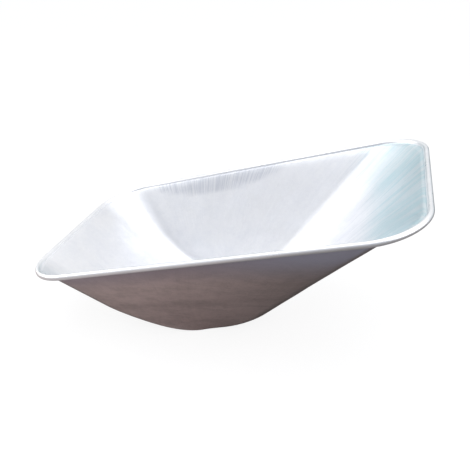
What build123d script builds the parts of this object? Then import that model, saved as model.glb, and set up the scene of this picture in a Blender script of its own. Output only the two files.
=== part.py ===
"""Wheelbarrow tray: a deep-drawn pan of galvanised sheet with its edge rolled over a steel wire.

+X is the front (the tipping end, which stands higher), +Y the left side, +Z up. The origin is on
the underside of the flat floor, midway along and across the rim. All sizes are in millimetres.
"""

from build123d import *
from math import asin, atan2, cos, pi, sin, sqrt, tan
import os

# Rim, measured on the centre line of the rolled edge and level with the ground
rim_length = 900
rim_rear_width = 536
rim_front_width = 586
rim_rear_corner = 121
rim_front_corner = 116
rim_rear_height = 172
rim_front_height = 420

# Sheet and rolled edge; a narrow lip joins the wall to the curl, which goes over the wire and
# ends under it
sheet = 1.0
lip_width = 2.0
wire_diameter = 11.0
wire_clearance = 0.25
wire_joint_gap = 3.0
curl_start_angle = 188
curl_turn = 318

# Flat floor inside the bends
floor_rear_x = -72
floor_front_x = 12
floor_rear_width = 296
floor_front_width = 145
floor_rear_corner = 30
floor_front_corner = 85

# Bends between the floor and the walls, measured on the outer face
rear_bend = 426
front_bend = 148
side_bend = 20

# Corners of the pan where its walls meet the rolled edge, and how much of a wall's length its two
# corners may take up together
pan_rear_corner = 112
pan_front_corner = 120
corner_room = 0.98

# Bolt holes through the floor, in a rear and a front pair
hole_diameter = 9.0
rear_hole_spacing = 160
front_hole_spacing = 80
rear_hole_setback = 18
front_hole_setback = 22

# Outlines that shape the pan, crowded towards the floor where its bends are, and how far the
# hollow is cut past the rim as a share of the height
outline_count = 13
outline_crowding = 2.5
hollow_overrun = 0.02

curl_radius = wire_diameter / 2 + wire_clearance + sheet
rim_slope = atan2(rim_front_height - rim_rear_height, rim_length)
pan_inset = curl_radius + lip_width
rear_x = -rim_length / 2
front_x = rim_length / 2
slope_length = rim_length / cos(rim_slope)
rim_plane = Plane(
    origin=(rear_x, 0, rim_rear_height),
    x_dir=(cos(rim_slope), 0, sin(rim_slope)),
    z_dir=(-sin(rim_slope), 0, cos(rim_slope)),
)


def rim_height(x):
    """Height of the rolled edge's centre line at x."""
    return rim_rear_height + (x - rear_x) * tan(rim_slope)


def rim_half_width(x):
    """Half the rim's width at x, before its corners are rounded."""
    share = (x - rear_x) / rim_length
    return (rim_rear_width + (rim_front_width - rim_rear_width) * share) / 2


def wall_angle(run, rise, bend):
    """Angle from the ground of a straight wall that follows its bend and ends at run and rise."""
    return asin(bend / sqrt(run**2 + (rise - bend) ** 2)) + atan2(rise - bend, run)


def reach(height, run, rise, bend, skin):
    """How far a wall stands out from the floor's edge at a height, drawn in by skin."""
    angle = wall_angle(run, rise, bend)
    radius = bend - skin
    climb = height - skin
    bend_climb = radius * (1 - cos(angle))
    if climb < bend_climb:
        return sqrt(radius**2 - (radius - climb) ** 2)
    return radius * sin(angle) + (climb - bend_climb) / tan(angle)


def corner_radii(length, rear_half, front_half, rear_corner, front_corner):
    """The two corners of an outline's side, each made smaller where the side is too short."""
    slant = atan2(rear_half - front_half, length)
    rear_tangent = rear_corner / tan((pi / 2 - slant) / 2)
    front_tangent = front_corner / tan((pi / 2 + slant) / 2)
    side = length / cos(slant)
    room = min(1, corner_room * side / (rear_tangent + front_tangent))
    return rear_corner * room, front_corner * room


def pan_outline(share, skin):
    """The pan's closed outline at a share of its height, drawn in from its outer face by skin."""
    rear_top_x = rear_x + pan_inset * cos(rim_slope)
    front_top_x = front_x - pan_inset * cos(rim_slope)
    rear_rise = rim_height(rear_top_x)
    front_rise = rim_height(front_top_x)
    rear_run = rim_half_width(rear_top_x) - pan_inset - floor_rear_width / 2
    front_run = rim_half_width(front_top_x) - pan_inset - floor_front_width / 2
    rear_z = skin + share * (rear_rise - skin)
    front_z = skin + share * (front_rise - skin)
    outline_rear_x = floor_rear_x - reach(
        rear_z, floor_rear_x - rear_top_x, rear_rise, rear_bend, skin
    )
    outline_front_x = floor_front_x + reach(
        front_z, front_top_x - floor_front_x, front_rise, front_bend, skin
    )
    rear_reach = reach(rear_z, rear_run, rear_rise, side_bend, skin)
    front_reach = reach(front_z, front_run, front_rise, side_bend, skin)
    rear_half = floor_rear_width / 2 + rear_reach
    front_half = floor_front_width / 2 + front_reach
    rear_corner_gain = (pan_rear_corner - floor_rear_corner) * rear_reach / rear_run
    front_corner_gain = (pan_front_corner - floor_front_corner) * front_reach / front_run
    length = sqrt((outline_front_x - outline_rear_x) ** 2 + (front_z - rear_z) ** 2)
    rear_corner, front_corner = corner_radii(
        length,
        rear_half,
        front_half,
        floor_rear_corner + rear_corner_gain,
        floor_front_corner + front_corner_gain,
    )
    plane = Plane(
        origin=(outline_rear_x, 0, rear_z),
        x_dir=(outline_front_x - outline_rear_x, 0, front_z - rear_z),
        z_dir=(rear_z - front_z, 0, outline_front_x - outline_rear_x),
    )
    with BuildSketch(plane) as outline:
        with BuildLine():
            FilletPolyline(
                (0, -rear_half),
                (length, -front_half),
                (length, front_half),
                (0, rear_half),
                radius=[rear_corner, front_corner, front_corner, rear_corner],
                close=True,
            )
        make_face()
    return outline.sketch


def half_rim_path(start_y):
    """Centre line of the rolled edge's left half, from start_y at the rear to the front's middle."""
    with BuildLine(rim_plane) as path:
        FilletPolyline(
            (0, start_y),
            (0, rim_rear_width / 2),
            (slope_length, rim_front_width / 2),
            (slope_length, 0),
            radius=[rim_rear_corner, rim_front_corner],
        )
    return path.wire()


def across_rim(start_y):
    """Plane square to the rolled edge at its rear end: local x points outwards, y up."""
    return Plane(
        origin=(rear_x, start_y, rim_rear_height),
        x_dir=(-cos(rim_slope), 0, -sin(rim_slope)),
        z_dir=(0, 1, 0),
    )


shares = [(step / (outline_count - 1)) ** outline_crowding for step in range(outline_count)]

# Rolled edge: the sheet's curl over the wire, half of it swept round the rim and mirrored
with BuildPart() as rolled_edge:
    with BuildSketch(across_rim(0)) as curl_profile:
        with BuildLine():
            outer = CenterArc((0, 0), curl_radius, curl_start_angle, -curl_turn)
            inner = CenterArc((0, 0), curl_radius - sheet, curl_start_angle, -curl_turn)
            Line(outer @ 0, inner @ 0)
            Line(outer @ 1, inner @ 1)
        make_face()
    sweep(sections=curl_profile.sketch, path=half_rim_path(0))
    mirror(about=Plane.XZ)

# Tray: the drawn pan, its rolled edge and its bolt holes, all one sheet
with BuildPart() as tray:
    loft(sections=[pan_outline(share, 0) for share in shares], ruled=True)
    with BuildSketch(rim_plane) as lip:
        with BuildLine():
            FilletPolyline(
                (0, -rim_rear_width / 2),
                (slope_length, -rim_front_width / 2),
                (slope_length, rim_front_width / 2),
                (0, rim_rear_width / 2),
                radius=[rim_rear_corner, rim_front_corner, rim_front_corner, rim_rear_corner],
                close=True,
            )
        make_face()
        offset(amount=sheet / 2 - curl_radius, kind=Kind.INTERSECTION)
    extrude(amount=-sheet)
    loft(
        sections=[pan_outline(share * (1 + hollow_overrun), sheet) for share in shares],
        ruled=True,
        mode=Mode.SUBTRACT,
    )
    add(rolled_edge.part)
    with Locations(
        (floor_rear_x + rear_hole_setback, -rear_hole_spacing / 2, sheet),
        (floor_rear_x + rear_hole_setback, rear_hole_spacing / 2, sheet),
        (floor_front_x - front_hole_setback, -front_hole_spacing / 2, sheet),
        (floor_front_x - front_hole_setback, front_hole_spacing / 2, sheet),
    ):
        Hole(hole_diameter / 2, depth=sheet)
tray.part.label = "tray"

# Rim wire: round steel wire bent to the rim's outline, its ends butted at the rear
with BuildPart() as rim_wire:
    with BuildSketch(across_rim(wire_joint_gap / 2)) as wire_profile:
        Circle(wire_diameter / 2)
    sweep(sections=wire_profile.sketch, path=half_rim_path(wire_joint_gap / 2))
    mirror(about=Plane.XZ)
rim_wire.part.label = "rim_wire"

os.makedirs("parts", exist_ok=True)
export_step(tray.part, "parts/tray.step")
export_step(rim_wire.part, "parts/rim_wire.step")
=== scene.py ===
"""Wheelbarrow tray in galvanised sheet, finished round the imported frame.

Laid out as an add-on: sizes and finishes are scene properties, and each piece and the studio is an
operator. All lengths are metres. +X is the tipping end, +Y the left side and +Z up.
"""

from math import asin, atan2, cos, hypot, pi, radians, sin, sqrt, tan

import bmesh
import bpy
from bpy.props import FloatProperty, FloatVectorProperty, PointerProperty
from mathutils import Matrix, Vector, noise


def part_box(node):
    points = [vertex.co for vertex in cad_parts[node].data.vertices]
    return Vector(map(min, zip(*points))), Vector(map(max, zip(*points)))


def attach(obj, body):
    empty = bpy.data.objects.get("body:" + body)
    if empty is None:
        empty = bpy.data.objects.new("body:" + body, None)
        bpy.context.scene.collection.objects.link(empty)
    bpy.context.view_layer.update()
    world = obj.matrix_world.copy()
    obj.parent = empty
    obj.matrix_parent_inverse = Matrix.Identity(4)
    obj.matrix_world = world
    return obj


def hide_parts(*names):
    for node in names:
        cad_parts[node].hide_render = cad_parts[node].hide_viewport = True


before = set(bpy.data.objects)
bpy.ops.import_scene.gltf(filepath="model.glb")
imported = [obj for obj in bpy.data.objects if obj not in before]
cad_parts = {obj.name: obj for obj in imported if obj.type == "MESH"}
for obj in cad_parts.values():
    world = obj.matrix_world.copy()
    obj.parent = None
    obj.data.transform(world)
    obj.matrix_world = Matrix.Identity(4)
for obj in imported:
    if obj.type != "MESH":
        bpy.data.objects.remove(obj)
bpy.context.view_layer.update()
wire_low, wire_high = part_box("rim_wire")
tray_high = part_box("tray")[1]

bl_info = {
    "name": "Wheelbarrow tray",
    "version": (1, 0, 0),
    "blender": (4, 5, 0),
    "location": "View3D > Sidebar > Tray",
    "description": "Builds a galvanised wheelbarrow tray, its rim wire and a plain studio",
    "category": "Object",
}

WIRE_DIAMETER = 0.011

# Share of the height where the press leaves its step
STEP_SHARE = 0.42


def length(name, description, default):
    """A length property in metres."""
    return FloatProperty(name=name, description=description, default=default, unit="LENGTH")


def colour(name, description, default):
    """A colour property."""
    return FloatVectorProperty(
        name=name, description=description, default=default, subtype="COLOR", size=3, min=0, max=1
    )


class TraySizes(bpy.types.PropertyGroup):
    """Sizes of the tray."""

    rim_length: length(
        "Rim length",
        "Between the rolled edge's centre lines, end to end",
        wire_high.x - wire_low.x - WIRE_DIAMETER,
    )
    rim_rear_width: length("Rear width", "Rim's width at the rear, between centre lines", 0.536)
    rim_front_width: length("Front width", "Rim's width at the front, between centre lines", 0.586)
    rim_rear_corner: length("Rear corner", "Radius of the rim's rear corners", 0.121)
    rim_front_corner: length("Front corner", "Radius of the rim's front corners", 0.116)
    rim_rear_height: length(
        "Rear height", "Height of the rim's centre line at the rear", wire_low.z + WIRE_DIAMETER / 2
    )
    rim_front_height: length(
        "Front height",
        "Height of the rim's centre line at the front",
        wire_high.z - WIRE_DIAMETER / 2,
    )
    sheet: length("Sheet", "Thickness of the sheet", 0.001)
    lip_width: length("Lip", "Width of the lip between the wall and the rolled edge", 0.002)
    curl_radius: length(
        "Curl radius", "Outer radius of the rolled edge", tray_high.x - wire_high.x + WIRE_DIAMETER / 2
    )
    curl_start: FloatProperty(
        name="Curl start",
        description="Where the wall runs onto the curl, from its outer side round over the top",
        default=radians(172),
        subtype="ANGLE",
    )
    curl_end: FloatProperty(
        name="Curl end",
        description="Where the curl stops under the wire",
        default=radians(-130),
        subtype="ANGLE",
    )
    floor_rear_x: length("Floor rear", "Rear end of the flat floor", -0.072)
    floor_front_x: length("Floor front", "Front end of the flat floor", 0.012)
    floor_rear_width: length("Floor rear width", "Floor's width at its rear", 0.296)
    floor_front_width: length("Floor front width", "Floor's width at its front", 0.145)
    floor_rear_corner: length("Floor rear corner", "Radius of the floor's rear corners", 0.030)
    floor_front_corner: length("Floor front corner", "Radius of the floor's front corners", 0.085)
    rear_bend: length("Rear bend", "Bend from the floor into the rear wall", 0.426)
    front_bend: length("Front bend", "Bend from the floor into the front wall", 0.148)
    side_bend: length("Side bend", "Bend from the floor into the side walls", 0.020)
    pan_rear_corner: length("Pan rear corner", "Radius of the rear corners high on the wall", 0.112)
    pan_front_corner: length("Pan front corner", "Radius of the front corners high on the wall", 0.120)
    hole_diameter: length("Bolt hole", "Diameter of the bolt holes", 0.009)
    rear_hole_spacing: length("Rear hole spacing", "Between the rear bolt holes", 0.160)
    front_hole_spacing: length("Front hole spacing", "Between the front bolt holes", 0.080)
    rear_hole_setback: length("Rear hole setback", "From the floor's rear end", 0.018)
    front_hole_setback: length("Front hole setback", "From the floor's front end", 0.022)
    dent_depth: length("Dent depth", "How far the walls wander from true", 0.0007)
    step_depth: length("Step", "Faint step that the press leaves half way up the walls", 0.0004)
    pucker_depth: length("Pucker depth", "Depth of the draw puckers high on the corners", 0.00035)


class TrayFinish(bpy.types.PropertyGroup):
    """Colours and textures of the zinc, and the painted shade and reflections laid on it."""

    inner_light: colour("Inner light", "Brightest zinc inside the tray", (0.88, 0.885, 0.90))
    inner_dark: colour("Inner dark", "Duller zinc inside the tray", (0.74, 0.755, 0.79))
    # Outside zinc, a little duller than inside, with a painted brown reflection of the ground in both
    # tones
    outer_light_and_painted_reflection: colour("Outer light", "Brighter zinc under the tray", (0.78, 0.66, 0.64))
    outer_dark_and_painted_reflection: colour("Outer dark", "Weathered zinc under the tray", (0.50, 0.43, 0.415))
    pressed: colour("Pressed", "Zinc dulled by the press high on the walls", (0.58, 0.60, 0.65))
    rubbed: colour("Rubbed", "Zinc rubbed bright along the rolled edge", (0.96, 0.965, 0.975))
    # Painted shade under the rolled edge at the rear, turning to a bluer painted reflection at the front
    rear_rim_painted_shade: colour("Under the rim", "Duller zinc below the rolled edge", (0.38, 0.345, 0.41))
    front_rim_painted_reflection: colour("Front rim", "Bluer zinc below the rolled edge, front", (0.64, 0.67, 0.82))
    # Painted teal reflection high inside the front wall
    front_wall_painted_reflection: colour("Front wall", "Bluer zinc high inside the front wall", (0.58, 0.73, 0.77))
    wire: colour("Wire", "Zinc on the drawn wire", (0.52, 0.54, 0.57))
    spangle: length("Spangle", "Size of the zinc crystals", 0.007)
    draw_pitch: length("Draw marks", "Width of the marks left by the press", 0.004)
    mottle: length("Mottle", "Size of the cloudy patches", 0.075)


class Studio(bpy.types.PropertyGroup):
    """Camera, floor and lights."""

    camera_place: FloatVectorProperty(
        name="Camera",
        description="Where the camera stands",
        default=(0.3431, -1.2397, 0.9021),
        unit="LENGTH",
    )
    camera_yaw: FloatProperty(
        name="Yaw", description="Turn from +Y towards +X", default=radians(-15.15), subtype="ANGLE"
    )
    camera_pitch: FloatProperty(
        name="Pitch", description="Tilt downwards", default=radians(28.07), subtype="ANGLE"
    )
    camera_roll: FloatProperty(
        name="Roll", description="Turn about the line of sight", default=radians(-0.64), subtype="ANGLE"
    )
    lens: FloatProperty(name="Lens", description="Focal length in millimetres", default=43.79)
    floor_tone: colour("Floor", "Colour of the studio floor", (0.86, 0.86, 0.86))
    floor_rear_echo: colour("Rear echo", "Floor as the metal mirrors it, rear", (0.42, 0.38, 0.37))
    floor_front_echo: colour("Front echo", "Floor as the metal mirrors it, front", (0.22, 0.205, 0.20))
    sky_tone: colour("Fill", "Colour of the light from all round", (0.86, 0.875, 0.91))
    horizon_tone: colour("Horizon", "Colour of the low light beyond the tray", (0.15, 0.30, 0.35))
    beyond_tone: colour("Beyond", "Colour of the high light beyond the tray", (0.98, 0.985, 1.0))
    behind_tone: colour("Behind", "Colour of the light behind the camera", (0.36, 0.39, 0.45))
    sky_strength: FloatProperty(
        name="Fill strength", description="Brightness of the fill", default=0.92
    )
    box_radiance: FloatProperty(
        name="Softbox", description="Brightness of the softboxes' faces", default=2.2
    )


# The tray's shape


def smooth(low, high, value):
    """0 at low and before it, 1 at high and past it, and an eased slope between."""
    share = min(max((value - low) / (high - low), 0), 1)
    return share * share * (3 - 2 * share)


def rim_slope(sizes):
    """The rim's tilt from level."""
    return atan2(sizes.rim_front_height - sizes.rim_rear_height, sizes.rim_length)


def rim_height(sizes, x):
    """Height of the rolled edge's centre line at x."""
    return sizes.rim_rear_height + (x + sizes.rim_length / 2) * tan(rim_slope(sizes))


def rim_half_width(sizes, x):
    """Half the rim's width at x, before its corners are rounded."""
    share = x / sizes.rim_length + 1 / 2
    return (sizes.rim_rear_width + (sizes.rim_front_width - sizes.rim_rear_width) * share) / 2


def reach(height, run, rise, bend, skin):
    """How far a wall stands out from the floor's edge at a height, drawn in by skin."""
    angle = asin(bend / hypot(run, rise - bend)) + atan2(rise - bend, run)
    radius = bend - skin
    climb = height - skin
    bend_climb = radius * (1 - cos(angle))
    if climb < bend_climb:
        return sqrt(radius**2 - (radius - climb) ** 2)
    return radius * sin(angle) + (climb - bend_climb) / tan(angle)


CORNER_STEPS = 30
END_STEPS = 34
SIDE_STEPS = 58


def rounded_outline(span, rear_half, front_half, rear_corner, front_corner):
    """Points and outward directions, in a plane, round an outline with four rounded corners."""
    corners = [
        (Vector((0, -rear_half)), rear_corner, SIDE_STEPS),
        (Vector((span, -front_half)), front_corner, END_STEPS),
        (Vector((span, front_half)), front_corner, SIDE_STEPS),
        (Vector((0, rear_half)), rear_corner, END_STEPS),
    ]
    arcs = []
    for index, (corner, radius, _steps) in enumerate(corners):
        arriving = (corner - corners[index - 1][0]).normalized()
        leaving = (corners[(index + 1) % 4][0] - corner).normalized()
        turn = arriving.angle(leaving)
        start = corner - arriving * radius * tan(turn / 2)
        outward = Vector((arriving.y, -arriving.x))
        centre = start - outward * radius
        arc = []
        for step in range(CORNER_STEPS + 1):
            out = outward.copy()
            out.rotate(Matrix.Rotation(turn * step / CORNER_STEPS, 2))
            arc.append((centre + out * radius, out))
        arcs.append(arc)
    outline = []
    for index, (_corner, _radius, steps) in enumerate(corners):
        outline += arcs[index]
        start, out = arcs[index][-1]
        end = arcs[(index + 1) % 4][0][0]
        outline += [(start.lerp(end, step / steps), out) for step in range(1, steps)]
    return outline


def pan_ring(sizes, share, skin):
    """Places round the pan's wall at a share of its height, drawn in from its outer face by skin."""
    slope = rim_slope(sizes)
    inset = sizes.curl_radius + sizes.lip_width
    front_top_x = sizes.rim_length / 2 - inset * cos(slope)
    rear_top_x = -front_top_x
    rear_rise = rim_height(sizes, rear_top_x)
    front_rise = rim_height(sizes, front_top_x)
    rear_run = rim_half_width(sizes, rear_top_x) - inset - sizes.floor_rear_width / 2
    front_run = rim_half_width(sizes, front_top_x) - inset - sizes.floor_front_width / 2
    rear_z = skin + share * (rear_rise - skin)
    front_z = skin + share * (front_rise - skin)
    rear_x = sizes.floor_rear_x - reach(
        rear_z, sizes.floor_rear_x - rear_top_x, rear_rise, sizes.rear_bend, skin
    )
    front_x = sizes.floor_front_x + reach(
        front_z, front_top_x - sizes.floor_front_x, front_rise, sizes.front_bend, skin
    )
    rear_reach = reach(rear_z, rear_run, rear_rise, sizes.side_bend, skin)
    front_reach = reach(front_z, front_run, front_rise, sizes.side_bend, skin)
    rear_gain = (sizes.pan_rear_corner - sizes.floor_rear_corner) * rear_reach / rear_run
    front_gain = (sizes.pan_front_corner - sizes.floor_front_corner) * front_reach / front_run
    span = hypot(front_x - rear_x, front_z - rear_z)
    along = Vector((front_x - rear_x, 0, front_z - rear_z)) / span
    outline = rounded_outline(
        span,
        sizes.floor_rear_width / 2 + rear_reach,
        sizes.floor_front_width / 2 + front_reach,
        sizes.floor_rear_corner + rear_gain,
        sizes.floor_front_corner + front_gain,
    )
    origin = Vector((rear_x, 0, rear_z))
    return [origin + along * point.x + Vector((0, point.y, 0)) for point, _out in outline]


def rim_ring(sizes):
    """Places and outward directions round the rolled edge's centre line, and its upward direction."""
    slope = rim_slope(sizes)
    along = Vector((cos(slope), 0, sin(slope)))
    origin = Vector((-sizes.rim_length / 2, 0, sizes.rim_rear_height))
    outline = rounded_outline(
        sizes.rim_length / cos(slope),
        sizes.rim_rear_width / 2,
        sizes.rim_front_width / 2,
        sizes.rim_rear_corner,
        sizes.rim_front_corner,
    )
    places = [origin + along * point.x + Vector((0, point.y, 0)) for point, _out in outline]
    outs = [along * out.x + Vector((0, out.y, 0)) for _point, out in outline]
    return places, outs, Vector((-sin(slope), 0, cos(slope)))


WALL_RINGS = 46
WALL_CROWDING = 2.1
WALL_TOP_SHARE = 0.985
BRIM_RINGS = 7
BRIM_HANDLE = 0.38
CURL_RINGS = 30


def wall_shares():
    """Shares of the height for the wall's rings, crowded towards the floor's bends."""
    return [WALL_TOP_SHARE * (ring / WALL_RINGS) ** WALL_CROWDING for ring in range(WALL_RINGS + 1)]


def tray_rings(sizes):
    """Every ring of the sheet's upper face: (places, wall share, curl angle), floor to curl's end."""
    rings = [(pan_ring(sizes, share, sizes.sheet), share, None) for share in wall_shares()]
    centres, outs, up = rim_ring(sizes)

    def curl_places(angle):
        lean = sizes.curl_radius * cos(angle)
        lift = sizes.curl_radius * sin(angle)
        return [centre + out * lean + up * lift for centre, out in zip(centres, outs)]

    wall_end, wall_before = rings[-1][0], rings[-2][0]
    curl_begin = curl_places(sizes.curl_start)
    lean, lift = sin(sizes.curl_start), -cos(sizes.curl_start)
    for ring in range(1, BRIM_RINGS):
        t = ring / BRIM_RINGS
        places = []
        for index, start in enumerate(wall_end):
            end = curl_begin[index]
            handle = (end - start).length * BRIM_HANDLE
            leaving = start + (start - wall_before[index]).normalized() * handle
            arriving = end - (outs[index] * lean + up * lift) * handle
            places.append(
                start * (1 - t) ** 3
                + leaving * 3 * t * (1 - t) ** 2
                + arriving * 3 * t**2 * (1 - t)
                + end * t**3
            )
        rings.append((places, 1, None))
    for ring in range(CURL_RINGS + 1):
        angle = sizes.curl_start + (sizes.curl_end - sizes.curl_start) * ring / CURL_RINGS
        rings.append((curl_places(angle), 1, angle))
    return rings


DRAW_BAND_START = -0.34
DRAW_BAND_LENGTH = 0.46
DRAW_BAND_DEPTH = 0.046
END_BAND_SETBACK = 0.14
END_BAND_STOP = 0.08


def draw_band(sizes, x, y, z):
    """How strongly the press marked the sheet here: a crescent high on each side wall."""
    along = (x - DRAW_BAND_START) / DRAW_BAND_LENGTH
    if not 0 < along < 1 or abs(y) < sizes.floor_rear_width / 2:
        return 0
    depth = rim_height(sizes, x) - z
    edge = DRAW_BAND_DEPTH * sin(pi * along) ** 0.8
    return smooth(1.15, 0.75, depth / edge) * smooth(0, 0.12, along) * smooth(1, 0.8, along)


def end_band(sizes, x, share):
    """How strongly the press marked the sheet here, and where the teal reflection is painted: the upper
    part of the front wall.
    """
    start = sizes.floor_front_x + END_BAND_SETBACK
    stop = sizes.rim_length / 2 - END_BAND_STOP
    return smooth(start, stop, x) * smooth(0.35, 0.8, share)


def mark_vertex(layers, vert, sizes, share, angle):
    """Writes a vertex's share of the height and where it is rubbed, marked or dull, and so where teal
    reflection is painted.
    """
    vert[layers["share"]] = share
    vert[layers["crown"]] = 0 if angle is None else smooth(-0.1, 0.5, sin(angle))
    vert[layers["draw_band"]] = 0 if angle is not None else draw_band(sizes, *vert.co)
    vert[layers["end_band"]] = 0 if angle is not None else end_band(sizes, vert.co.x, share)


MARKS = ("share", "crown", "draw_band", "end_band")


def sheet_mesh(sizes):
    """The sheet's upper face as one bmesh, from the floor round the walls and over the curl."""
    shape = bmesh.new()
    station = shape.verts.layers.int.new("station")
    flow = shape.verts.layers.float_vector.new("flow")
    layers = {name: shape.verts.layers.float.new(name) for name in MARKS}
    rings = tray_rings(sizes)
    count = len(rings[0][0])
    centres = rim_ring(sizes)[0]
    travelled = [0.0]
    for index in range(count):
        travelled.append(travelled[-1] + (centres[(index + 1) % count] - centres[index]).length)
    loop_radius = travelled[-1] / (2 * pi)

    places, share, angle = rings[0]
    ring_verts = [shape.verts.new(place) for place in places]
    for index, vert in enumerate(ring_verts):
        vert[station] = index
        mark_vertex(layers, vert, sizes, share, angle)
    edges = [shape.edges.new((ring_verts[index - 1], ring_verts[index])) for index in range(count)]
    floor_edges = list(edges)
    down = [0.0] * count
    before = places
    for vert in ring_verts:
        turn = travelled[vert[station]] / loop_radius
        vert[flow] = Vector((cos(turn) * loop_radius, sin(turn) * loop_radius, 0))
    for places, share, angle in rings[1:]:
        made = bmesh.ops.extrude_edge_only(shape, edges=edges)["geom"]
        new_verts = {item for item in made if isinstance(item, bmesh.types.BMVert)}
        for vert in new_verts:
            index = vert[station]
            vert.co = places[index]
            down[index] += (places[index] - before[index]).length
            turn = travelled[index] / loop_radius
            vert[flow] = Vector((cos(turn) * loop_radius, sin(turn) * loop_radius, down[index]))
            mark_vertex(layers, vert, sizes, share, angle)
        edges = [
            item
            for item in made
            if isinstance(item, bmesh.types.BMEdge) and set(item.verts) <= new_verts
        ]
        before = places
    return shape, floor_edges


HOLE_SEGMENTS = 28


def add_floor(shape, floor_edges, sizes):
    """Closes the floor, leaving its bolt holes, and turns every face to the inside of the tray."""
    rear_x = sizes.floor_rear_x + sizes.rear_hole_setback
    front_x = sizes.floor_front_x - sizes.front_hole_setback
    holes = []
    for x, spacing in ((rear_x, sizes.rear_hole_spacing), (front_x, sizes.front_hole_spacing)):
        for side in (-1, 1):
            made = bmesh.ops.create_circle(
                shape,
                cap_ends=False,
                radius=sizes.hole_diameter / 2,
                segments=HOLE_SEGMENTS,
                matrix=Matrix.Translation((x, side * spacing / 2, sizes.sheet)),
            )
            holes += {edge for vert in made["verts"] for edge in vert.link_edges}
    filled = bmesh.ops.triangle_fill(shape, use_beauty=True, edges=floor_edges + holes)
    bmesh.ops.recalc_face_normals(shape, faces=shape.faces)
    floor_faces = [item for item in filled["geom"] if isinstance(item, bmesh.types.BMFace)]
    if floor_faces[0].normal.z < 0:
        bmesh.ops.reverse_faces(shape, faces=shape.faces)


BROAD_DENT = 0.13
SMALL_DENT = 0.06
STEP_WAVE = 0.3
PUCKER_WIDTH = 0.022


def press_by_hand(shape, sizes):
    """Moves the walls off true: shallow dents, the press's step and puckers high on the corners."""
    shape.normal_update()
    share_layer = shape.verts.layers.float["share"]
    flow = shape.verts.layers.float_vector["flow"]
    moves = []
    for vert in shape.verts:
        share = vert[share_layer]
        wall = smooth(0.01, 0.2, share) * smooth(1.0, 0.93, share)
        if wall == 0:
            continue
        small = noise.noise(vert.co / SMALL_DENT + Vector((7, 3, 1)))
        dent = noise.noise(vert.co / BROAD_DENT) + 0.5 * small
        corner = min(abs(vert.normal.x), abs(vert.normal.y)) * 2
        around = Vector((vert[flow].x, vert[flow].y, vert[flow].z * 0.15)) / PUCKER_WIDTH
        pucker = noise.noise(around) * corner * smooth(0.35, 0.9, share)
        wave = 0.02 * noise.noise(vert.co / STEP_WAVE)
        step = sizes.step_depth * smooth(-0.02, 0.02, share - STEP_SHARE - wave)
        moves.append((vert, wall * (sizes.dent_depth * dent + sizes.pucker_depth * pucker + step)))
    for vert, move in moves:
        vert.co += vert.normal * move


SHARP_ANGLE = radians(50)


def sheet_piece(name, shape, sizes, materials):
    """A finished piece: the face given its thickness on the outside, smooth but for its cut edges."""
    mesh = bpy.data.meshes.new(name)
    shape.to_mesh(mesh)
    shape.free()
    for material in materials:
        mesh.materials.append(material)
    piece = bpy.data.objects.new(name, mesh)
    bpy.context.scene.collection.objects.link(piece)
    thickness = piece.modifiers.new("Sheet thickness", "SOLIDIFY")
    thickness.thickness = sizes.sheet
    thickness.offset = -1
    thickness.use_even_offset = True
    thickness.material_offset = 1
    thickness.material_offset_rim = 1
    depsgraph = bpy.context.evaluated_depsgraph_get()
    solid = bpy.data.meshes.new_from_object(piece.evaluated_get(depsgraph))
    piece.modifiers.clear()
    piece.data = solid
    bpy.data.meshes.remove(mesh)
    solid.name = name
    solid.shade_smooth()
    solid.set_sharp_from_angle(angle=SHARP_ANGLE)
    return piece


# Node groups shared by the materials


class Tree:
    """Adds and joins the nodes of one node tree."""

    def __init__(self, tree):
        self.tree = tree

    def add(self, kind, inputs=(), **settings):
        """A node with its settings, its inputs set from values or joined to sockets by name."""
        node = self.tree.nodes.new(kind)
        for key, value in settings.items():
            setattr(node, key, value)
        for key, value in dict(inputs).items():
            if isinstance(value, bpy.types.NodeSocket):
                self.tree.links.new(value, node.inputs[key])
            else:
                node.inputs[key].default_value = value
        return node

    def maths(self, operation, first, second=0.0, clamp=False):
        """The result of one sum."""
        node = self.add("ShaderNodeMath", {0: first, 1: second}, operation=operation, use_clamp=clamp)
        return node.outputs[0]

    def scaled(self, vector, scale):
        """A vector scaled along each of its axes."""
        node = self.add("ShaderNodeVectorMath", {0: vector, 1: scale}, operation="MULTIPLY")
        return node.outputs[0]

    def noise(self, vector, scale, detail=3.0, roughness=0.55, distortion=0.0):
        """A noise value round a half."""
        node = self.add(
            "ShaderNodeTexNoise",
            {
                "Vector": vector,
                "Scale": scale,
                "Detail": detail,
                "Roughness": roughness,
                "Distortion": distortion,
            },
        )
        return node.outputs[0]

    def spread(self, value, low, high, out_low=0.0, out_high=1.0):
        """A value spread from one range to another, and held within it."""
        node = self.add(
            "ShaderNodeMapRange",
            {0: value, 1: low, 2: high, 3: out_low, 4: out_high},
            interpolation_type="SMOOTHSTEP",
        )
        return node.outputs[0]

    def mix(self, share, first, second):
        """Two colours mixed by a share."""
        node = self.add("ShaderNodeMix", data_type="RGBA")
        for socket, value in ((node.inputs[0], share), (node.inputs[6], first), (node.inputs[7], second)):
            if isinstance(value, bpy.types.NodeSocket):
                self.tree.links.new(value, socket)
            elif socket.type == "RGBA":
                socket.default_value = (*value, 1)
            else:
                socket.default_value = value
        return node.outputs[2]


def new_group(name, inputs, outputs):
    """An empty node group, its tree helper, and its inputs and outputs."""
    group = bpy.data.node_groups.new(name, "ShaderNodeTree")
    for title, kind, default in inputs:
        socket = group.interface.new_socket(title, in_out="INPUT", socket_type=kind)
        if default is not None:
            socket.default_value = default
    for title in outputs:
        group.interface.new_socket(title, in_out="OUTPUT", socket_type="NodeSocketFloat")
    tree = Tree(group)
    return group, tree, tree.add("NodeGroupInput").outputs, tree.add("NodeGroupOutput").inputs


VECTOR = "NodeSocketVector"
FLOAT = "NodeSocketFloat"


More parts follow.
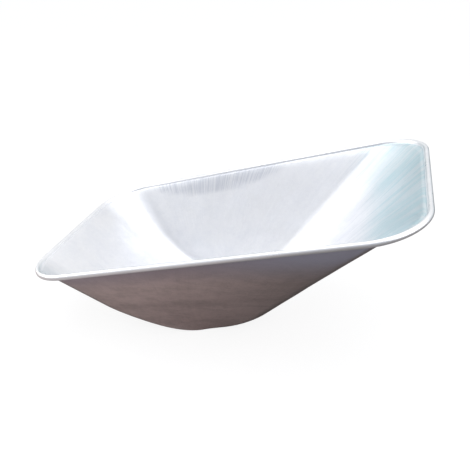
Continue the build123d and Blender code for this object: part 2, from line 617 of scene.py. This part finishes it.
def spangle_group():
    """Zinc crystals: one tone to each, with feathered edges, and a slight step between them."""
    group, tree, given, result = new_group(
        "Spangle", [("Vector", VECTOR, None), ("Size", FLOAT, 0.007)], ["Tone", "Height"]
    )
    per_size = tree.maths("DIVIDE", 1.0, given["Size"])
    feather = tree.add(
        "ShaderNodeTexNoise", {"Vector": given["Vector"], "Scale": 900.0, "Detail": 2.0}
    ).outputs["Color"]
    shift = tree.scaled(feather, (0.0015, 0.0015, 0.0015))
    place = tree.add("ShaderNodeVectorMath", {0: given["Vector"], 1: shift}, operation="ADD").outputs[0]
    cells = tree.add("ShaderNodeTexVoronoi", {"Vector": place, "Scale": per_size})
    tone = tree.add("ShaderNodeSeparateColor", {0: cells.outputs["Color"]}).outputs[0]
    tree.tree.links.new(tone, result["Tone"])
    tree.tree.links.new(tree.maths("MULTIPLY", tone, 0.6), result["Height"])
    return group


def draw_marks_group():
    """Marks that the press drags down the walls: fine scores and broader bands between them."""
    group, tree, given, result = new_group(
        "Draw marks", [("Flow", VECTOR, None), ("Pitch", FLOAT, 0.004)], ["Fine", "Broad"]
    )
    per_pitch = tree.maths("DIVIDE", 1.0, given["Pitch"])
    fine = tree.noise(tree.scaled(given["Flow"], (1, 1, 0.035)), per_pitch, 4.0, 0.7)
    broad_scale = tree.maths("MULTIPLY", per_pitch, 0.16)
    broad = tree.noise(tree.scaled(given["Flow"], (1, 1, 0.12)), broad_scale, 2.0, 0.5)
    tree.tree.links.new(tree.spread(fine, 0.38, 0.64), result["Fine"])
    tree.tree.links.new(tree.spread(broad, 0.35, 0.65), result["Broad"])
    return group


def mottle_group():
    """Cloudy patches of duller zinc."""
    group, tree, given, result = new_group(
        "Mottle", [("Vector", VECTOR, None), ("Size", FLOAT, 0.075)], ["Mask", "Specks"]
    )
    per_size = tree.maths("DIVIDE", 1.0, given["Size"])
    cloud = tree.noise(given["Vector"], per_size, 5.0, 0.62, 0.4)
    speck_scale = tree.maths("MULTIPLY", per_size, 14.0)
    specks = tree.noise(given["Vector"], speck_scale, 3.0, 0.6)
    tree.tree.links.new(tree.spread(cloud, 0.36, 0.66), result["Mask"])
    tree.tree.links.new(tree.spread(specks, 0.60, 0.74), result["Specks"])
    return group


def rub_group():
    """Metal rubbed bright where a mask says it stands proud, broken up along its length."""
    group, tree, given, result = new_group(
        "Rub", [("Vector", VECTOR, None), ("Proud", FLOAT, 0.0)], ["Mask"]
    )
    patches = tree.spread(tree.noise(given["Vector"], 22.0, 4.0, 0.6), 0.3, 0.62, 0.45, 1.0)
    tree.tree.links.new(tree.maths("MULTIPLY", given["Proud"], patches, clamp=True), result["Mask"])
    return group


def darker(tone, share):
    """A colour with each of its parts scaled by a share."""
    return tuple(share * part for part in tone)


def sheet_material(
    name, groups, tones, finish, roughness, marks_share, marks_and_reflection_share, painted_light_share, stretch
):
    """Zinc-coated sheet: spangle, clouding and draw marks, painted reflections and painted shade, and a
    rubbed crown.

    The pressed share sets the marks and the painted teal reflection inside, and the last share sets the
    painted shade and reflection outside: the bluer strip under the rolled edge, and the darker step, ends
    and edges turned away from the view.
    """
    light, dark = tones
    material = bpy.data.materials.new(name)
    material.use_nodes = True
    material.node_tree.nodes.clear()
    tree = Tree(material.node_tree)
    place = tree.add("ShaderNodeTexCoord").outputs["Object"]
    flow = tree.add("ShaderNodeAttribute", attribute_name="flow").outputs["Vector"]
    crown = tree.add("ShaderNodeAttribute", attribute_name="crown").outputs["Fac"]
    band = tree.add("ShaderNodeAttribute", attribute_name="draw_band").outputs["Fac"]
    end = tree.add("ShaderNodeAttribute", attribute_name="end_band").outputs["Fac"]

    spangle = tree.add("ShaderNodeGroup", node_tree=groups["spangle"])
    tree.tree.links.new(place, spangle.inputs["Vector"])
    spangle.inputs["Size"].default_value = finish.spangle
    marks = tree.add("ShaderNodeGroup", node_tree=groups["draw_marks"])
    tree.tree.links.new(flow, marks.inputs["Flow"])
    marks.inputs["Pitch"].default_value = finish.draw_pitch
    mottle = tree.add("ShaderNodeGroup", node_tree=groups["mottle"])
    tree.tree.links.new(tree.scaled(place, stretch), mottle.inputs["Vector"])
    mottle.inputs["Size"].default_value = finish.mottle
    rub = tree.add("ShaderNodeGroup", node_tree=groups["rub"])
    tree.tree.links.new(place, rub.inputs["Vector"])
    tree.tree.links.new(crown, rub.inputs["Proud"])

    # Clouding, spangle and marks
    fine, broad = marks.outputs["Fine"], marks.outputs["Broad"]
    band_marks = tree.maths("MULTIPLY", band, tree.spread(fine, 0.0, 1.0, 0.38, 1.0))
    end_marks = tree.maths("MULTIPLY", end, tree.maths("MULTIPLY", fine, broad))
    dullness = tree.maths("MULTIPLY", mottle.outputs["Mask"], 0.42)
    dullness = tree.maths("ADD", dullness, tree.maths("MULTIPLY", spangle.outputs["Tone"], 0.16))
    dullness = tree.maths("ADD", dullness, tree.maths("MULTIPLY", broad, marks_share))
    dullness = tree.maths("ADD", dullness, tree.maths("MULTIPLY", fine, marks_share * 0.5))
    tone = tree.mix(dullness, light, tuple(dark))
    pressed = tree.maths("ADD", band_marks, tree.maths("MULTIPLY", end_marks, 0.7), clamp=True)
    tone = tree.mix(tree.maths("MULTIPLY", pressed, marks_and_reflection_share), tone, tuple(finish.pressed))
    tone = tree.mix(tree.maths("MULTIPLY", mottle.outputs["Specks"], 0.25), tone, tuple(dark))

    # Painted shade and bluer painted reflection in a strip under the rolled edge, reaching lower towards
    # the front
    height = tree.add("ShaderNodeAttribute", attribute_name="share").outputs["Fac"]
    forward = tree.add("ShaderNodeSeparateXYZ", {0: place}).outputs["X"]
    raised = tree.maths("ADD", height, tree.spread(forward, -0.05, 0.35, 0.0, 0.12))
    painted_rim_light_mask = tree.maths("MULTIPLY", tree.spread(raised, 0.66, 1.0), painted_light_share)
    rim_painted_light = tree.mix(
        tree.spread(forward, -0.1, 0.25), tuple(finish.rear_rim_painted_shade), tuple(finish.front_rim_painted_reflection)
    )
    tone = tree.mix(painted_rim_light_mask, tone, rim_painted_light)

    # Painted teal reflection high inside the front wall
    front_reflection_mask = tree.maths("MULTIPLY", tree.maths("POWER", end, 4.5), 1.1 * marks_and_reflection_share)
    front_reflection_mask = tree.maths("MULTIPLY", front_reflection_mask, tree.spread(broad, 0.0, 1.0, 0.55, 1.0))
    front_reflection_mask = tree.maths("MULTIPLY", front_reflection_mask, tree.spread(fine, 0.0, 1.0, 0.7, 1.0))
    tone = tree.mix(front_reflection_mask, tone, tuple(finish.front_wall_painted_reflection))

    # Painted shade outside: darker at the step, on edges turned away from the view and towards the ends
    from_step = tree.maths("ABSOLUTE", tree.maths("SUBTRACT", height, STEP_SHARE))
    painted_step_shade = tree.maths("MULTIPLY", tree.spread(from_step, 0.075, 0.0), painted_light_share * 0.2)
    turned = tree.add("ShaderNodeLayerWeight", {"Blend": 0.5}).outputs["Facing"]
    # Painted shade on edges turned away from the view
    edge = tree.maths("MULTIPLY", tree.spread(turned, 0.70, 0.92), painted_light_share)
    shaded = tree.maths("MAXIMUM", painted_step_shade, edge)
    tone = tree.mix(shaded, tone, darker(dark, 0.45))
    # Painted shade, darker towards both ends
    ends = tree.maths("ABSOLUTE", tree.maths("ADD", forward, 0.06))
    away = tree.maths("MULTIPLY", tree.spread(ends, 0.08, 0.34), painted_light_share * 0.42)
    below = tree.maths("MULTIPLY", away, tree.spread(raised, 1.0, 0.75))
    tone = tree.mix(below, tone, darker(dark, 0.55))
    tone = tree.mix(rub.outputs["Mask"], tone, tuple(finish.rubbed))

    gloss = tree.maths("ADD", tree.maths("MULTIPLY", mottle.outputs["Mask"], 0.08), roughness)
    gloss = tree.maths("ADD", gloss, tree.maths("MULTIPLY", spangle.outputs["Tone"], 0.05))
    gloss = tree.maths("ADD", gloss, tree.maths("MULTIPLY", fine, 0.06))
    gloss = tree.maths("SUBTRACT", gloss, tree.maths("MULTIPLY", rub.outputs["Mask"], 0.10), clamp=True)

    relief = tree.maths("MULTIPLY", fine, 0.6)
    relief = tree.maths("ADD", relief, tree.maths("MULTIPLY", broad, 0.5))
    relief = tree.maths("ADD", relief, tree.maths("MULTIPLY", spangle.outputs["Height"], 0.15))
    grain = tree.noise(place, 1600.0, 2.0, 0.6)
    relief = tree.maths("ADD", relief, tree.maths("MULTIPLY", grain, 0.12))
    bump = tree.add(
        "ShaderNodeBump", {"Strength": 0.35, "Distance": 0.0004, "Height": relief}
    ).outputs[0]
    shader = tree.add(
        "ShaderNodeBsdfPrincipled",
        {"Base Color": tone, "Metallic": 1.0, "Roughness": gloss, "Normal": bump},
    )
    tree.add("ShaderNodeOutputMaterial", {"Surface": shader.outputs[0]})
    return material


WIRE_MOTTLE = 0.03


def wire_material(groups, finish):
    """Zinc-coated drawn wire, with patches of duller zinc."""
    material = bpy.data.materials.new("drawn_zinc_wire")
    material.use_nodes = True
    material.node_tree.nodes.clear()
    tree = Tree(material.node_tree)
    place = tree.add("ShaderNodeTexCoord").outputs["Object"]
    mottle = tree.add(
        "ShaderNodeGroup", {"Vector": place, "Size": WIRE_MOTTLE}, node_tree=groups["mottle"]
    )
    tone = tree.mix(mottle.outputs["Mask"], finish.wire, darker(finish.wire, 0.6))
    gloss = tree.spread(mottle.outputs["Mask"], 0.0, 1.0, 0.34, 0.5)
    grain = tree.noise(place, 1200.0, 3.0, 0.6)
    bump = tree.add(
        "ShaderNodeBump", {"Strength": 0.4, "Distance": 0.0002, "Height": grain}
    ).outputs[0]
    shader = tree.add(
        "ShaderNodeBsdfPrincipled",
        {"Base Color": tone, "Metallic": 1.0, "Roughness": gloss, "Normal": bump},
    )
    tree.add("ShaderNodeOutputMaterial", {"Surface": shader.outputs[0]})
    return material


def shared_groups():
    """The node groups that the finishes share, built once."""
    makers = {
        "spangle": spangle_group,
        "draw_marks": draw_marks_group,
        "mottle": mottle_group,
        "rub": rub_group,
    }
    titles = {"spangle": "Spangle", "draw_marks": "Draw marks", "mottle": "Mottle", "rub": "Rub"}
    return {key: bpy.data.node_groups.get(titles[key]) or maker() for key, maker in makers.items()}


# Operators


class TRAY_OT_shell(bpy.types.Operator):
    """Makes the drawn tray with its rolled edge and bolt holes"""

    bl_idname = "tray.shell"
    bl_label = "Tray"

    def execute(self, context):
        sizes, finish = context.scene.tray_sizes, context.scene.tray_finish
        groups = shared_groups()
        shape, floor_edges = sheet_mesh(sizes)
        add_floor(shape, floor_edges, sizes)
        press_by_hand(shape, sizes)
        inner = sheet_material(
            "galvanised_inner",
            groups,
            (finish.inner_light, finish.inner_dark),
            finish,
            roughness=0.34,
            marks_share=0.10,
            marks_and_reflection_share=0.9,
            painted_light_share=0.0,
            stretch=(1, 1, 1),
        )
        # The outside takes the painted shade and painted reflections, the inside only the painted teal
        # reflection
        outer = sheet_material(
            "galvanised_outer",
            groups,
            (finish.outer_light_and_painted_reflection, finish.outer_dark_and_painted_reflection),
            finish,
            roughness=0.36,
            marks_share=0.09,
            marks_and_reflection_share=0.0,
            painted_light_share=0.85,
            stretch=(1, 1, 2.6),
        )
        piece = sheet_piece("tray_shell", shape, sizes, [inner, outer])
        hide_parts("tray")
        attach(piece, "root")
        return {"FINISHED"}


class TRAY_OT_wire(bpy.types.Operator):
    """Gives the rim wire its finish"""

    bl_idname = "tray.wire"
    bl_label = "Rim wire"

    def execute(self, context):
        material = wire_material(shared_groups(), context.scene.tray_finish)
        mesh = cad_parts["rim_wire"].data
        mesh.materials.clear()
        mesh.materials.append(material)
        return {"FINISHED"}


def camera_matrix(studio):
    """Where the camera stands and how it is turned."""
    yaw, pitch, roll = studio.camera_yaw, studio.camera_pitch, studio.camera_roll
    forward = Vector((sin(yaw) * cos(pitch), cos(yaw) * cos(pitch), -sin(pitch)))
    level = Vector((cos(yaw), -sin(yaw), 0))
    above = level.cross(forward)
    right = level * cos(roll) + above * sin(roll)
    up = above * cos(roll) - level * sin(roll)
    turned = Matrix((right, up, -forward)).transposed().to_4x4()
    return Matrix.Translation(studio.camera_place) @ turned


def add_softbox(name, place, width, height, radiance, tone):
    """A rectangular softbox aimed at the middle of the tray."""
    light = bpy.data.lights.new(name, "AREA")
    light.shape = "RECTANGLE"
    light.size = width
    light.size_y = height
    light.energy = radiance * pi * width * height
    light.color = tone
    box = bpy.data.objects.new(name, light)
    place = Vector(place)
    aim = Vector((0, 0, tray_high.z / 2)) - place
    box.matrix_world = Matrix.Translation(place) @ aim.to_track_quat("-Z", "Y").to_matrix().to_4x4()
    box.visible_camera = False
    bpy.context.scene.collection.objects.link(box)


FLOOR_SIZE = 40
FLOOR_GAP = 0.0005
FLOOR_GLOW = 1.08
FLOOR_GLOW_SHARE = 0.8
SENSOR_WIDTH = 36

# Name, place, width, height, share of the softboxes' brightness, and colour
SOFTBOXES = (
    ("softbox_rear", (-2.3, 0.05, 1.15), 2.4, 1.25, 0.9, (1.0, 0.995, 0.98)),
    ("softbox_front", (1.85, -0.75, 1.65), 2.3, 1.35, 0.7, (1.0, 0.995, 0.98)),
    ("softbox_top", (0.0, -0.1, 2.7), 3.4, 3.0, 0.5, (0.99, 0.99, 1.0)),
)


class TRAY_OT_studio(bpy.types.Operator):
    """Sets up a plain pale floor, soft lights and the camera"""

    bl_idname = "tray.studio"
    bl_label = "Studio"

    def execute(self, context):
        studio = context.scene.tray_studio
        shape = bmesh.new()
        bmesh.ops.create_grid(
            shape,
            x_segments=1,
            y_segments=1,
            size=FLOOR_SIZE / 2,
            matrix=Matrix.Translation((0, 0, -FLOOR_GAP)),
        )
        mesh = bpy.data.meshes.new("studio_floor")
        shape.to_mesh(mesh)
        shape.free()
        floor = bpy.data.objects.new("studio_floor", mesh)
        context.scene.collection.objects.link(floor)
        mesh.materials.append(floor_material(studio))

        world = bpy.data.worlds.new("studio_air")
        world.use_nodes = True
        world.node_tree.nodes.clear()
        tree = Tree(world.node_tree)
        toward = tree.add("ShaderNodeTexCoord").outputs["Generated"]
        parts = tree.add("ShaderNodeSeparateXYZ", {0: toward}).outputs
        low = tree.spread(parts["Z"], 0.26, 0.03)
        beyond = tree.spread(parts["Y"], 0.25, 0.85)
        behind = tree.maths(
            "MULTIPLY", tree.spread(parts["Y"], -0.6, -0.92), tree.spread(parts["X"], -0.5, -0.15)
        )
        air = tree.mix(beyond, studio.sky_tone, tuple(studio.beyond_tone))
        air = tree.mix(behind, air, tuple(studio.behind_tone))
        air = tree.mix(tree.maths("MULTIPLY", low, beyond), air, tuple(studio.horizon_tone))
        fill = tree.add("ShaderNodeBackground", {"Color": air, "Strength": studio.sky_strength})
        seen = tree.add("ShaderNodeBackground", {"Color": (1, 1, 1, 1), "Strength": 1.0})
        camera_ray = tree.add("ShaderNodeLightPath").outputs["Is Camera Ray"]
        both = tree.add(
            "ShaderNodeMixShader", {0: camera_ray, 1: fill.outputs[0], 2: seen.outputs[0]}
        )
        tree.add("ShaderNodeOutputWorld", {"Surface": both.outputs[0]})
        context.scene.world = world

        for name, place, width, height, share, tone in SOFTBOXES:
            add_softbox(name, place, width, height, studio.box_radiance * share, tone)

        camera = bpy.data.cameras.new("studio_camera")
        camera.lens = studio.lens
        camera.sensor_width = SENSOR_WIDTH
        camera.dof.use_dof = False
        stand = bpy.data.objects.new("studio_camera", camera)
        stand.matrix_world = camera_matrix(studio)
        context.scene.collection.objects.link(stand)
        context.scene.camera = stand
        context.scene.view_settings.view_transform = "Standard"
        return {"FINISHED"}


def floor_material(studio):
    """Matt pale floor, darker as the metal mirrors it and lifted to white for the camera."""
    material = bpy.data.materials.new("studio_floor")
    material.use_nodes = True
    material.node_tree.nodes.clear()
    tree = Tree(material.node_tree)
    place = tree.add("ShaderNodeTexCoord").outputs["Object"]
    forward = tree.add("ShaderNodeSeparateXYZ", {0: place}).outputs["X"]
    echo = tree.mix(
        tree.spread(forward, -0.25, 0.30), studio.floor_rear_echo, tuple(studio.floor_front_echo)
    )
    rays = tree.add("ShaderNodeLightPath").outputs
    tone = tree.mix(rays["Is Glossy Ray"], studio.floor_tone, echo)
    paint = tree.add(
        "ShaderNodeBsdfPrincipled", {"Base Color": tone, "Roughness": 0.9, "Specular IOR Level": 0.1}
    )
    glow = tree.add("ShaderNodeEmission", {"Color": (1, 1, 1, 1), "Strength": FLOOR_GLOW})
    share = tree.maths("MULTIPLY", rays["Is Camera Ray"], FLOOR_GLOW_SHARE)
    both = tree.add("ShaderNodeMixShader", {0: share, 1: paint.outputs[0], 2: glow.outputs[0]})
    tree.add("ShaderNodeOutputMaterial", {"Surface": both.outputs[0]})
    return material


class TRAY_PT_panel(bpy.types.Panel):
    """Sizes, finishes and the operators that build the tray"""

    bl_idname = "TRAY_PT_panel"
    bl_label = "Wheelbarrow tray"
    bl_space_type = "VIEW_3D"
    bl_region_type = "UI"
    bl_category = "Tray"

    def draw(self, context):
        scene = context.scene
        for settings in (scene.tray_sizes, scene.tray_finish, scene.tray_studio):
            box = self.layout.box()
            for key in settings.__annotations__:
                box.prop(settings, key)
        for operator in (TRAY_OT_shell, TRAY_OT_wire, TRAY_OT_studio):
            self.layout.operator(operator.bl_idname)


CLASSES = (TraySizes, TrayFinish, Studio, TRAY_OT_shell, TRAY_OT_wire, TRAY_OT_studio, TRAY_PT_panel)


def register():
    """Adds the classes and the scene's properties."""
    for item in CLASSES:
        bpy.utils.register_class(item)
    bpy.types.Scene.tray_sizes = PointerProperty(type=TraySizes)
    bpy.types.Scene.tray_finish = PointerProperty(type=TrayFinish)
    bpy.types.Scene.tray_studio = PointerProperty(type=Studio)


def unregister():
    """Takes them away again."""
    del bpy.types.Scene.tray_studio
    del bpy.types.Scene.tray_finish
    del bpy.types.Scene.tray_sizes
    for item in reversed(CLASSES):
        bpy.utils.unregister_class(item)


def main():
    """Builds everything."""
    register()
    bpy.ops.tray.studio()
    bpy.ops.tray.shell()
    bpy.ops.tray.wire()


if __name__ == "__main__":
    main()
